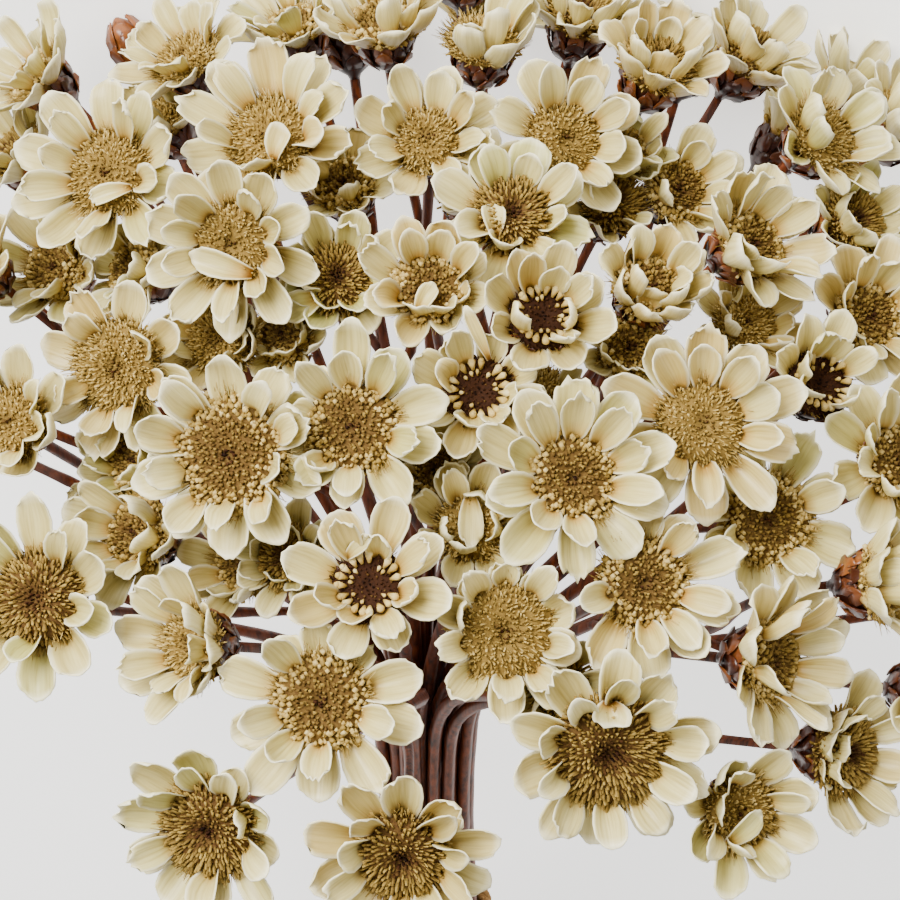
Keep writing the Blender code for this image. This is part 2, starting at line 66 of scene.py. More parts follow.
# The camera
tieLow, tieHigh = (Vector(corner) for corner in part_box("tie"))
lyingTilt = math.radians(bunch["lyingTilt"])
bunchAxis = Vector((0, -math.cos(lyingTilt), math.sin(lyingTilt)))
domeCentre = (tieLow + tieHigh) / 2 - bunchAxis * (bunch["tieHeight"] * mm)
domeCentre.x -= photoView["stemsLeft"] * mm  # the stems stand to the picture's left of the dome's middle
rise = lyingTilt + math.radians(photoView["fromAxis"])
toEye = Vector((0, -math.cos(rise), math.sin(rise)))
pictureUp = Vector((0, -math.sin(rise), -math.cos(rise)))
pictureRight = Vector((-1, 0, 0))
farAway = photoView["distance"]
domeReach = math.sqrt(farAway**2 - photoView["domeRadius"]**2)
focal = photoView["outlinePixels"] / photoView["domeRadius"] * domeReach
eye = domeCentre + (toEye * farAway + pictureUp * (photoView["centreDown"] * farAway / focal)) * mm
cameraData = bpy.data.cameras.new("photoCamera")
camera = placed("photoCamera", cameraData)
turn = Matrix((pictureRight, pictureUp, toEye)).transposed().to_4x4()
camera.matrix_world = Matrix.Translation(eye) @ turn
cameraData.sensor_width = photoView["sensor"]
cameraData.lens = photoView["sensor"] * focal / photoView["pictureSide"]
cameraData.clip_start = 0.01
bpy.context.scene.camera = camera
print("camera set")


def pixelOf(point):  # where a point shows in the photograph
    seen = point - eye
    away = -seen.dot(toEye)
    half = photoView["pictureSide"] / 2
    return Vector((half + focal * seen.dot(pictureRight) / away, half - focal * seen.dot(pictureUp) / away))


# Reading where the heads, petals and stems are from the solids
reading = {  # what tells a solid's parts: millimetres, and petalFrom as a share of a head's width
    "merge": 0.002, "petalPlane": 0.03, "petalFrom": 0.2, "stepsToTips": 6, "outerBelow": 0.1,
    "neckNear": 0.8, "neckFlat": 0.1, "evenSpokes": 0.02, "pitSpokes": (1.8, 3.8),
    "budSpokes": (1.77, 1.93), "cutNear": 1.2,
}


def mergedCopy(node):
    bm = bmesh.new()
    bm.from_mesh(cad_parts[node].data)
    bmesh.ops.remove_doubles(bm, verts=bm.verts, dist=reading["merge"] * mm)
    return bm


def neighbours(vert):
    return [edge.other_vert(vert) for edge in vert.link_edges]


def middleOf(verts):
    return sum((v.co for v in verts), Vector()) / len(verts)


def nearby(vert, steps):  # the vertices within some steps of one
    found = {vert}
    edge = {vert}
    for _ in range(steps):
        edge = {n for v in edge for n in neighbours(v)} - found
        found |= edge
    return found


def readPetal(tips):  # from the two vertices at a petal's tip back to its widest place and its root
    wide = {n for v in tips for n in neighbours(v)} - set(tips)
    root = {n for v in wide for n in neighbours(v)} - wide - set(tips)
    if len(wide) != 4 or len(root) < 4:
        return None
    first = min(wide, key=lambda v: (v.co - tips[0].co).length)
    pair = min((v for v in wide if v is not first), key=lambda v: (v.co - first.co).length)
    others = [v for v in wide if v is not first and v is not pair]
    across = middleOf(others) - middleOf([first, pair])
    return {"root": middleOf(list(root)), "wide": middleOf(list(wide)), "tip": middleOf(tips),
            "width": across.length, "side": across.normalized()}


def readHead(bm, pit):
    ring = neighbours(pit)
    count = len(ring)
    middle = middleOf(ring)
    axis = (middle - pit.co).normalized()
    radius = sum((v.co - middle).length for v in ring) / count
    width = radius / bunch["topRing"]
    seat = pit.co - axis * (bunch["pitHeight"] * mm)
    neck = seat - axis * (bunch["neckDepth"] * mm)
    around = nearby(pit, reading["stepsToTips"])
    corner = (ring[0].co - middle).normalized()
    petals = []
    for k in range(count):
        out = Matrix.Rotation(2 * math.pi * (k + 0.5) / count, 3, axis) @ corner
        side = axis.cross(out)
        tips = []
        for v in around:
            local = v.co - seat
            flat = local - axis * local.dot(axis)
            inPlane = abs(local.dot(side)) < reading["petalPlane"] * mm and local.dot(out) > 0
            if inPlane and flat.length > width * reading["petalFrom"]:
                tips.append(v)
        tips.sort(key=lambda v: -(v.co - seat).length)
        petal = readPetal(tips[:2]) if len(tips) > 1 else None
        if petal:
            petal["out"] = out
            if petal["side"].dot(side) < 0:
                petal["side"] = -petal["side"]
            petal["outer"] = (petal["root"] - seat).dot(axis) < reading["outerBelow"] * mm
        petals.append(petal)
    return {"seat": seat, "axis": axis, "width": width, "petals": petals, "neck": neck, "open": True}


def readBud(vert):
    axis = (vert.co - middleOf(neighbours(vert))).normalized()
    length = bunch["budLength"] * mm
    return {"seat": vert.co - axis * length / 2, "axis": axis, "width": 2 * bunch["budRadius"] * mm,
            "petals": [], "neck": vert.co - axis * length, "open": False}


def layersFrom(ring, most, passed=()):  # middles of the rings that follow a first ring along a stem
    count = len(ring)
    seen = set(ring) | set(passed)
    middles = [middleOf(ring)]
    edge = set(ring)
    for _ in range(most):
        after = {n for v in edge for n in neighbours(v)} - seen
        if len(after) != count:
            break
        middles.append(middleOf(list(after)))
        seen |= after
        edge = after
    return middles


def readStalk(bm, head):  # the neck and the two rings below it
    neck, axis = head["neck"], head["axis"]
    near, flat = reading["neckNear"] * mm, reading["neckFlat"] * mm
    ring = [v for v in bm.verts if (v.co - neck).length < near and abs((v.co - neck).dot(axis)) < flat]
    cone = {n for v in ring for n in neighbours(v) if (n.co - neck).dot(axis) > flat}
    return layersFrom(ring, 2, cone)


def readSpray(node):
    bm = mergedCopy(node)
    heads = []
    pitLow, pitHigh = (spoke * mm for spoke in reading["pitSpokes"])
    budLow, budHigh = (spoke * mm for spoke in reading["budSpokes"])
    for vert in bm.verts:
        lengths = [edge.calc_length() for edge in vert.link_edges]
        if max(lengths) - min(lengths) > reading["evenSpokes"] * mm:
            continue
        if len(lengths) in (8, 10) and pitLow < lengths[0] < pitHigh:  # a pit has a spoke for each petal
            heads.append(readHead(bm, vert))
        if len(lengths) == 4 and budLow < lengths[0] < budHigh:
            heads.append(readBud(vert))
    for head in heads:
        head["stalk"] = readStalk(bm, head)
        head["pixel"] = pixelOf(head["seat"])
    lowest = min(v.co.dot(bunchAxis) for v in bm.verts)
    cut = [v for v in bm.verts if v.co.dot(bunchAxis) < lowest + reading["cutNear"] * mm]
    stem = layersFrom(cut, 4)
    bm.free()
    return {"node": node, "heads": heads, "stem": stem}


sprays = [readSpray(node) for node in sorted(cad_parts) if node.startswith("spray")]
print("read", len(sprays), "sprays with", sum(len(s["heads"]) for s in sprays), "heads")


# Materials
def linear(hexText):  # sRGB hex to the linear values that Blender's sockets take
    values = [int(hexText[i:i + 2], 16) / 255 for i in (1, 3, 5)]
    return [v / 12.92 if v <= 0.04045 else ((v + 0.055) / 1.055) ** 2.4 for v in values] + [1.0]


def addNode(tree, kind, settings=None, values=None, links=None, stops=()):
    made = tree.nodes.new(kind)
    for _ in stops[2:]:
        made.color_ramp.elements.new(0.5)
    for k, (place, colour) in enumerate(stops):
        made.color_ramp.elements[k].position = place
        made.color_ramp.elements[k].color = linear(colour)
    for name, value in (settings or {}).items():
        setattr(made, name, value)
    for name, value in (values or {}).items():
        made.inputs[name].default_value = value
    for name, source in (links or {}).items():
        tree.links.new(source, made.inputs[name])
    return made


def newMaterial(name, look):
    material = bpy.data.materials.new(name)
    material.use_nodes = True
    tree = material.node_tree
    shader = tree.nodes["Principled BSDF"]
    shader.inputs["Roughness"].default_value = look["roughness"]
    shader.inputs["Specular IOR Level"].default_value = look["gloss"]
    return material, tree, shader


petalLook = {  # sizes in millimetres; a petal's tone runs from green over plain to tan
    "base": "#8C5F28", "throat": "#B99853", "blade": "#CABD82", "tip": "#D5CA9B", "rim": "#EDE7C6",
    "green": "#E2EBC6", "plain": "#FFFEF6", "tan": "#F2E0B8", "veinDark": "#CBBD85", "veinMid": "#F1ECD2",
    "veinsAcross": 13.0, "cloudMm": 4.5, "rimFrom": 0.84, "rimShare": 0.7, "bumpDepth": 0.07,
    "roughness": 0.38, "gloss": 0.4,
}


def driedBractMaterial():  # everlasting bract: dead scarious tissue, pale and half glossy like waxed paper
    look = petalLook
    material, tree, shader = newMaterial("driedBract", look)
    uv = addNode(tree, "ShaderNodeUVMap", {"uv_map": "petalUv"})
    parts = addNode(tree, "ShaderNodeSeparateXYZ", links={0: uv.outputs["UV"]})
    tone = addNode(tree, "ShaderNodeAttribute", {"attribute_name": "tone"})
    stretched = addNode(tree, "ShaderNodeMapping", values={"Scale": (look["veinsAcross"], 1.1, 1.0)},
                        links={0: uv.outputs["UV"]})
    shifted = addNode(tree, "ShaderNodeMath", {"operation": "MULTIPLY"}, {1: 37.0}, {0: tone.outputs["Fac"]})
    streaks = addNode(tree, "ShaderNodeTexNoise", {"noise_dimensions": "4D"},
                      {"Scale": 1.0, "Detail": 3.0, "Roughness": 0.6},
                      {"Vector": stretched.outputs["Vector"], "W": shifted.outputs[0]})
    place = addNode(tree, "ShaderNodeTexCoord")
    clouds = addNode(tree, "ShaderNodeTexNoise", {}, {"Scale": 1 / (look["cloudMm"] * mm), "Detail": 3.0},
                     {"Vector": place.outputs["Object"]})
    wobble = addNode(tree, "ShaderNodeMath", {"operation": "MULTIPLY_ADD"}, {1: 0.3, 2: -0.15},
                     {0: clouds.outputs[0]})
    along = addNode(tree, "ShaderNodeMath", {"operation": "ADD"},
                    links={0: parts.outputs["Y"], 1: wobble.outputs[0]})
    body = addNode(tree, "ShaderNodeValToRGB", links={0: along.outputs[0]}, stops=[
        (0.0, look["base"]), (0.14, look["throat"]), (0.4, look["blade"]), (0.95, look["tip"])])
    tint = addNode(tree, "ShaderNodeValToRGB", links={0: tone.outputs["Fac"]}, stops=[
        (0.0, look["green"]), (0.35, look["plain"]), (0.65, look["plain"]), (1.0, look["tan"])])
    tinted = addNode(tree, "ShaderNodeMix", {"data_type": "RGBA", "blend_type": "MULTIPLY"}, {0: 1.0},
                     {6: body.outputs["Color"], 7: tint.outputs["Color"]})
    veins = addNode(tree, "ShaderNodeValToRGB", links={0: streaks.outputs[0]}, stops=[
        (0.32, look["veinDark"]), (0.5, look["veinMid"]), (0.66, look["plain"])])
    veined = addNode(tree, "ShaderNodeMix", {"data_type": "RGBA", "blend_type": "MULTIPLY"}, {0: 0.7},
                     {6: tinted.outputs[2], 7: veins.outputs["Color"]})
    sideways = addNode(tree, "ShaderNodeMath", {"operation": "MULTIPLY_ADD"}, {1: 2.0, 2: -1.0},
                       {0: parts.outputs["X"]})
    fromMiddle = addNode(tree, "ShaderNodeMath", {"operation": "ABSOLUTE"}, links={0: sideways.outputs[0]})
    toEdge = addNode(tree, "ShaderNodeMath", {"operation": "MAXIMUM"},
                     links={0: fromMiddle.outputs[0], 1: parts.outputs["Y"]})
    rimShare = addNode(tree, "ShaderNodeMapRange", values={"From Min": look["rimFrom"], "From Max": 1.0,
                                                           "To Min": 0.0, "To Max": look["rimShare"]},
                       links={"Value": toEdge.outputs[0]})
    rimmed = addNode(tree, "ShaderNodeMix", {"data_type": "RGBA"}, {7: linear(look["rim"])},
                     {0: rimShare.outputs[0], 6: veined.outputs[2]})
    bump = addNode(tree, "ShaderNodeBump", values={"Strength": 0.5, "Distance": look["bumpDepth"] * mm},
                   links={"Height": streaks.outputs[0]})
    tree.links.new(rimmed.outputs[2], shader.inputs["Base Color"])
    tree.links.new(bump.outputs["Normal"], shader.inputs["Normal"])
    return material


discLook = {
    "pit": "#190B05", "dark": "#3E220E", "brown": "#735A29", "ochre": "#9A7E3C", "straw": "#C0A665",
    "cream": "#DCD09C", "grainMm": 0.22, "bumpDepth": 0.04, "roughness": 0.8, "gloss": 0.1,
}


def driedFloretMaterial():  # florets and their bristles: dull and fibrous, dark brown to cream
    look = discLook
    material, tree, shader = newMaterial("driedFlorets", look)
    tone = addNode(tree, "ShaderNodeAttribute", {"attribute_name": "tone"})
    place = addNode(tree, "ShaderNodeTexCoord")
    grain = addNode(tree, "ShaderNodeTexNoise", {}, {"Scale": 1 / (look["grainMm"] * mm), "Detail": 2.0},
                    {"Vector": place.outputs["Object"]})
    jitter = addNode(tree, "ShaderNodeMath", {"operation": "MULTIPLY_ADD"}, {1: 0.2, 2: -0.1},
                     {0: grain.outputs[0]})
    level = addNode(tree, "ShaderNodeMath", {"operation": "ADD"},
                    links={0: tone.outputs["Fac"], 1: jitter.outputs[0]})
    colour = addNode(tree, "ShaderNodeValToRGB", links={0: level.outputs[0]}, stops=[
        (0.0, look["pit"]), (0.2, look["dark"]), (0.4, look["brown"]), (0.6, look["ochre"]),
        (0.8, look["straw"]), (1.0, look["cream"])])
    bump = addNode(tree, "ShaderNodeBump", values={"Strength": 0.5, "Distance": look["bumpDepth"] * mm},
                   links={"Height": grain.outputs[0]})
    tree.links.new(colour.outputs["Color"], shader.inputs["Base Color"])
    tree.links.new(bump.outputs["Normal"], shader.inputs["Normal"])
    return material


huskLook = {
    "dark": "#260D07", "chestnut": "#47200F", "edge": "#8A4F22", "mottleMm": 1.1, "bumpDepth": 0.05,
    "roughness": 0.3, "gloss": 0.45,
}


def hornyHuskMaterial():  # small brown bracts below a head, and the bud: horny, with the gloss of a seed coat
    look = huskLook
    material, tree, shader = newMaterial("hornyHusk", look)
    tone = addNode(tree, "ShaderNodeAttribute", {"attribute_name": "tone"})
    place = addNode(tree, "ShaderNodeTexCoord")
    mottle = addNode(tree, "ShaderNodeTexNoise", {}, {"Scale": 1 / (look["mottleMm"] * mm), "Detail": 3.0},
                     {"Vector": place.outputs["Object"]})
    spread = addNode(tree, "ShaderNodeMath", {"operation": "MULTIPLY_ADD"}, {1: 0.4, 2: -0.2},
                     {0: mottle.outputs[0]})
    level = addNode(tree, "ShaderNodeMath", {"operation": "ADD"},
                    links={0: tone.outputs["Fac"], 1: spread.outputs[0]})
    colour = addNode(tree, "ShaderNodeValToRGB", links={0: level.outputs[0]}, stops=[
        (0.05, look["dark"]), (0.45, look["chestnut"]), (0.9, look["edge"])])
    bump = addNode(tree, "ShaderNodeBump", values={"Strength": 0.4, "Distance": look["bumpDepth"] * mm},
                   links={"Height": mottle.outputs[0]})
    tree.links.new(colour.outputs["Color"], shader.inputs["Base Color"])
    tree.links.new(bump.outputs["Normal"], shader.inputs["Normal"])
    return material


# the mauve-grey colour and its share below are a painted reflection on the bark, not a bloom of its own
stemLook = {
    "dark": "#2A1108", "red": "#753716", "paintedSheen": "#84706E", "ridgeMm": 0.6, "ridgeAlong": 0.07,
    "patchMm": 11.0, "paintedSheenShare": 0.35, "bumpDepth": 0.1, "roughness": 0.5, "gloss": 0.2,
}


def driedStalkMaterial():  # woody stalk: ridged red-brown bark, with mauve-grey patches in places that are a painted reflection of light on the glossy bark
    look = stemLook
    material, tree, shader = newMaterial("driedStalk", look)
    place = addNode(tree, "ShaderNodeTexCoord")
    drawn = addNode(tree, "ShaderNodeMapping",  # turned to the bunch's axis and drawn out along it
                    values={"Rotation": (lyingTilt, 0.0, 0.0), "Scale": (1.0, look["ridgeAlong"], 1.0)},
                    links={0: place.outputs["Object"]})
    ridges = addNode(tree, "ShaderNodeTexNoise", {}, {"Scale": 1 / (look["ridgeMm"] * mm), "Detail": 3.0},
                     {"Vector": drawn.outputs["Vector"]})
    bark = addNode(tree, "ShaderNodeValToRGB", links={0: ridges.outputs[0]}, stops=[
        (0.3, look["dark"]), (0.7, look["red"])])
    patches = addNode(tree, "ShaderNodeTexNoise", {}, {"Scale": 1 / (look["patchMm"] * mm), "Detail": 2.0},
                      {"Vector": place.outputs["Object"]})
    # the mauve-grey patches laid on by this noise are a painted reflection of light off the glossy bark
    spread = addNode(tree, "ShaderNodeMapRange",
                     values={"From Min": 0.58, "From Max": 0.78, "To Min": 0.0, "To Max": look["paintedSheenShare"]},
                     links={"Value": patches.outputs[0]})
    paintedSheenOn = addNode(tree, "ShaderNodeMix", {"data_type": "RGBA"}, {7: linear(look["paintedSheen"])},
                    {0: spread.outputs[0], 6: bark.outputs["Color"]})
    bump = addNode(tree, "ShaderNodeBump", values={"Strength": 0.7, "Distance": look["bumpDepth"] * mm},
                   links={"Height": ridges.outputs[0]})
    tree.links.new(paintedSheenOn.outputs[2], shader.inputs["Base Color"])
    tree.links.new(bump.outputs["Normal"], shader.inputs["Normal"])
    return material


twineLook = {
    "deep": "#6E4A26", "pale": "#B08A55", "fibreMm": 0.25, "bumpDepth": 0.12, "roughness": 0.9, "gloss": 0.1,
}


def juteTwineMaterial():  # jute: coarse dull plant fibre, laid in three strands
    look = twineLook
    material, tree, shader = newMaterial("juteTwine", look)
    place = addNode(tree, "ShaderNodeTexCoord")
    fibres = addNode(tree, "ShaderNodeTexNoise", {},
                     {"Scale": 1 / (look["fibreMm"] * mm), "Detail": 4.0, "Roughness": 0.7},
                     {"Vector": place.outputs["Object"]})
    colour = addNode(tree, "ShaderNodeValToRGB", links={0: fibres.outputs[0]}, stops=[
        (0.3, look["deep"]), (0.7, look["pale"])])
    bump = addNode(tree, "ShaderNodeBump", values={"Strength": 0.8, "Distance": look["bumpDepth"] * mm},
                   links={"Height": fibres.outputs[0]})
    tree.links.new(colour.outputs["Color"], shader.inputs["Base Color"])
    tree.links.new(bump.outputs["Normal"], shader.inputs["Normal"])
    return material


materials = {"petals": driedBractMaterial(), "florets": driedFloretMaterial(), "husk": hornyHuskMaterial(),
             "stalk": driedStalkMaterial(), "twine": juteTwineMaterial()}
print("materials made")


# What every piece needs
def newSheet():  # an empty bmesh whose vertices carry a tone, from 0 to 1
    bm = bmesh.new()
    bm.verts.layers.float.new("tone")
    return bm


def joinInto(bm, part):
    mesh = bpy.data.meshes.new("part")
    part.to_mesh(mesh)
    part.free()
    bm.from_mesh(mesh)
    bpy.data.meshes.remove(mesh)


def inBatches(bm, count, addOne, batch=40):  # some at a time, because adding to a small mesh is quick
    for first in range(0, count, batch):
        part = newSheet()
        for i in range(first, min(count, first + batch)):
            addOne(part, i)
        joinInto(bm, part)


def finishPiece(name, bm, look, node, thickness=0.0):
    for vert in bm.verts:  # what hangs lowest lies on the floor
        vert.co.z = max(vert.co.z, thickness / 2 * mm)
    mesh = bpy.data.meshes.new(name)
    bm.to_mesh(mesh)
    bm.free()
    mesh.shade_smooth()
    piece = placed(name, mesh)
    mesh.materials.append(materials[look])
    if thickness:
        wall = piece.modifiers.new("thickness", "SOLIDIFY")
        wall.thickness = thickness * mm
        wall.offset = 0.0
    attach(piece, "root")
    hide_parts(node)
    return piece


def sidesOf(axis):  # two directions square to an axis and to each other
    across = axis.orthogonal().normalized()
    return across, axis.cross(across)


def spinProfile(bm, seat, axis, profile, tone, steps=14):  # a closed turned body from (radius, height) pairs
    across, _ = sidesOf(axis)
    before = set(bm.verts)
    line = [bm.verts.new(seat + across * r + axis * z) for r, z in profile]
    edges = [bm.edges.new(pair) for pair in zip(line, line[1:])]
    bmesh.ops.spin(bm, geom=line + edges, cent=seat, axis=axis, angle=2 * math.pi, steps=steps,
                   use_merge=True)
    layer = bm.verts.layers.float["tone"]
    made = [v for v in bm.verts if v not in before]
    for vert in made:
        vert[layer] = tone
    bmesh.ops.remove_doubles(bm, verts=made, dist=1e-7)


def addPeg(bm, base, way, size, sides, low, high):  # a small cone; size is foot radius, top radius and length
    foot, top, length = size
    place = Matrix.Translation(base + way * length / 2) @ up.rotation_difference(way).to_matrix().to_4x4()
    made = bmesh.ops.create_cone(bm, cap_ends=True, segments=sides, radius1=foot, radius2=top, depth=length,
                                 matrix=place)["verts"]
    layer = bm.verts.layers.float["tone"]
    for vert in made:
        vert[layer] = low + (high - low) * min(1.0, max(0.0, (vert.co - base).dot(way) / length))


# Petals
petalMake = {  # shares of the petal's length and width; thickness in millimetres, swing and nod in degrees
    "thickness": 0.13, "across": 8, "rows": (0.0, 0.2, 0.42, 0.62, 0.8, 0.92, 1.0),
    "outline": (0.36, 0.64, 0.9, 1.0, 0.95, 0.87, 0.74), "setBack": (0.0, 0.0, 0.0, 0.01, 0.06, 0.11, 0.16),
    "roundness": 2.1, "cup": 0.26, "curl": 0.75, "ragged": 0.14, "raggedShare": 0.35, "wider": 0.82,
    "longer": 1.03, "lengths": 0.1, "swing": 6.0, "nod": 8.0,
}
scaleMake = {  # the same for the husks' scales
    "thickness": 0.15, "across": 2, "rows": (0.0, 0.4, 0.8, 1.0), "outline": (0.75, 1.0, 0.7, 0.14),
    "setBack": (0.0, 0.0, 0.0, 0.0), "roundness": 1.7, "cup": -0.12, "curl": 0.0, "ragged": 0.04,
    "raggedShare": 0.2, "wider": 1.0, "longer": 1.0, "lengths": 0.05, "swing": 4.0, "nod": 4.0,
}
petalSpread = {  # how much petals and scales differ from one another
    "cup": (0.45, 1.5), "curl": (-0.5, 1.4), "twist": (-0.35, 0.35), "crease": (0.0, 0.25),
    "width": (0.9, 1.08), "smoothTip": 0.25,
}


def petalSheet(bm, petal, axis, rng, make, tones):
    rows = make["rows"]
    last = len(rows) - 1
    tone = rng.uniform(*tones)
    ragged = make["ragged"] * (1.0 if rng.random() < make["raggedShare"] else petalSpread["smoothTip"])
    cup = make["cup"] * rng.uniform(*petalSpread["cup"])
    curl = make["curl"] * rng.uniform(*petalSpread["curl"])
    twist = rng.uniform(*petalSpread["twist"])
    crease = rng.uniform(*petalSpread["crease"])
    root, side = petal["root"], petal["side"]
    swing = Matrix.Rotation(math.radians(rng.uniform(-1, 1) * make["swing"]), 3, axis)
    nod = Matrix.Rotation(math.radians(rng.uniform(-1, 1) * make["nod"]), 3, side)
    stretch = make["longer"] + rng.uniform(-1, 1) * make["lengths"]
    wide = root + swing @ nod @ (petal["wide"] - root) * stretch
    tip = root + swing @ nod @ (petal["tip"] - root) * stretch
    side = swing @ side
    pull = (wide - root * 0.16 - tip * 0.36) / 0.48  # so that the curve passes the widest place at 0.6
    half = petal["width"] / 2 * make["wider"] * rng.uniform(*petalSpread["width"])
    length = (tip - root).length
    toneLayer = bm.verts.layers.float["tone"]
    uvLayer = bm.loops.layers.uv.get("petalUv") or bm.loops.layers.uv.new("petalUv")
    made = bmesh.ops.create_grid(bm, x_segments=make["across"], y_segments=last, size=1.0)["verts"]
    spots = {}
    for vert in made:
        s = vert.co.x
        row = round((vert.co.y + 1) / 2 * last)
        t = rows[row]
        centre = root * (1 - t) ** 2 + pull * 2 * t * (1 - t) + tip * t * t
        way = ((pull - root) * (1 - t) + (tip - pull) * t).normalized()
        face = way.cross(side).normalized()
        if face.dot(axis) < 0:
            face = -face
        bend = math.sin(math.pi * min(1.0, t * 0.96 + 0.04)) ** 0.6  # cupped most at half its length
        lift = cup * half * 2 * bend * (s * s - 0.35) + twist * half * s * t * t
        lift -= crease * half * (1 - abs(s)) * bend
        lift += curl * length * max(0.0, t - 0.5) ** 2
        lift += noise.noise(Vector((s * 1.3, t * 2.2, tone * 40))) * 0.4 * mm * t  # papery waves
        back = make["setBack"][row] * abs(s) ** make["roundness"]
        if row >= last - 1:
            torn = 0.5 + noise.noise(Vector((s * 2.9, tone * 90, row * 0.7)))
            back += torn * ragged * (1.0 if row == last else 0.4)
        vert.co = centre + side * (s * half * make["outline"][row]) + face * lift - way * (back * length)
        vert[toneLayer] = tone
        spots[vert] = ((s + 1) / 2, t)
    for face in {f for v in made for f in v.link_faces}:
        for loop in face.loops:
            loop[uvLayer].uv = spots[loop.vert]


extraMake = {  # petals that the solids leave out: shares of theirs, ups and downs in millimetres
    "betweenReach": 0.98, "betweenDown": {"root": 0.3, "wide": 0.4, "tip": 0.5},
    "raisedShare": 0.55, "raisedSteeper": 26, "raisedRoot": 0.88, "raisedUp": 0.9, "raisedLong": 0.8,
    "raisedWide": 0.82, "foldedWithin": 16, "foldedLong": 0.33, "foldedWide": 0.2, "foldedWidest": 0.55,
    "foldedUp": (1.8, 1.3, 1.2),
}


def betweenPetal(head, k):  # a petal of the back row, between two outer ones
    petals = head["petals"]
    left, right = petals[k - 1], petals[(k + 1) % len(petals)]
    if not (left and right and left["outer"] and right["outer"]):
        return None
    seat, axis = head["seat"], head["axis"]
    out = (left["out"] + right["out"]).normalized()
    petal = {"side": axis.cross(out), "width": min(left["width"], right["width"])}
    for name, down in extraMake["betweenDown"].items():  # as far out as its neighbours, but between them
        spots = [p[name] - seat for p in (left, right)]
        height = sum(spot.dot(axis) for spot in spots) / 2
        reach = min((spot - axis * spot.dot(axis)).length for spot in spots)
        petal[name] = seat + out * reach * extraMake["betweenReach"] + axis * (height - down * mm)
    return petal


def raisedPetal(head, k, spread):  # a steeper and shorter petal in front of an outer one
    petal = head["petals"][k]
    if not (petal and petal["outer"]):
        return None
    seat, axis, make = head["seat"], head["axis"], extraMake
    lift = Matrix.Rotation(math.radians(-make["raisedSteeper"]), 3, petal["side"])
    if (lift @ petal["out"]).dot(axis) < 0:
        lift = lift.inverted()
    root = seat + (petal["root"] - seat) * make["raisedRoot"] + petal["out"] * spread
    root += axis * make["raisedUp"] * mm
    wide, tip = (root + lift @ (petal[name] - petal["root"]) * make["raisedLong"] for name in ("wide", "tip"))
    return {"root": root, "wide": wide, "tip": tip, "side": petal["side"],
            "width": petal["width"] * make["raisedWide"]}


# Petals that the photograph shows lying over a disc: the head's pixel, the angles in the picture of the
# petal's root and of the way it points, its length and width against a usual petal, and how far out it
# starts as a share of the head's width
foldedPetals = {
    "acrossTheDisc": ((235, 245), 310, 158, 1.0, 1.0, 0.2),
    "smallUpright": ((272, 138), 290, 75, 0.55, 0.8, 0.19),
    "curledOver": ((110, 175), 330, 200, 0.7, 0.7, 0.19),
    "shortAndWide": ((607, 750), 95, 265, 0.32, 1.25, 0.29),
    "curledLeft": ((370, 587), 130, 30, 0.55, 0.6, 0.19),
    "insideTheCup": ((738, 812), 235, 45, 0.85, 1.0, 0.19),
    "hangingDown": ((470, 528), 90, 265, 1.2, 1.0, 0.19),
    "thinAbove": ((478, 392), 70, 112, 1.1, 0.5, 0.19),
    "roundBelow": ((338, 282), 235, 215, 0.75, 1.2, 0.19),
    "standingLeft": ((512, 218), 235, 98, 0.65, 0.9, 0.19),
    "curledBelow": ((430, 290), 250, 60, 0.65, 0.7, 0.19),
}


def foldedPetal(head, rootAngle, pointsTo, length, width, start):
    axis = head["axis"]
    ways = []
    for angle in (rootAngle, pointsTo):
        way = pictureRight * math.cos(math.radians(angle)) + pictureUp * math.sin(math.radians(angle))
        ways.append((way - axis * way.dot(axis)).normalized())
    out, along = ways
    rootUp, wideUp, tipUp = (axis * height * mm for height in extraMake["foldedUp"])
    root = head["seat"] + out * head["width"] * start + rootUp
    long = head["width"] * extraMake["foldedLong"] * length
    return {"root": root, "wide": root + along * long * extraMake["foldedWidest"] + wideUp,
            "tip": root + along * long + tipUp, "side": axis.cross(along),
            "width": head["width"] * extraMake["foldedWide"] * width}


def petalsOf(head, rng):
    _, wide = discOf(head)
    spread = head["width"] * discMake["radius"] * (wide - 1)  # a wide disc pushes inner petals out
    for k, petal in enumerate(head["petals"]):
        if petal and not petal["outer"]:
            petal = {**petal, "root": petal["root"] + petal["out"] * spread}
        raised = raisedPetal(head, k, spread) if rng.random() < extraMake["raisedShare"] else None
        for sheet in (betweenPetal(head, k), petal, raised):
            if sheet:
                yield sheet
    for pixel, *fold in foldedPetals.values():
        if (head["pixel"] - Vector(pixel)).length < extraMake["foldedWithin"]:
            yield foldedPetal(head, *fold)


def makePetals(spray, number):
    bm = newSheet()
    for h, head in enumerate(h for h in spray["heads"] if h["open"]):
        rng = random.Random(seed * 1000 + number * 10 + h)
        part = newSheet()
        shade = rng.uniform(0.0, 0.55)  # heads differ in tone, and a head's own petals a little less
        for sheet in petalsOf(head, rng):
            petalSheet(part, sheet, head["axis"], rng, petalMake, (shade, shade + 0.45))
        joinInto(bm, part)
    return finishPiece(f"petals_{number:02d}", bm, "petals", spray["node"],
                       petalMake["thickness"])


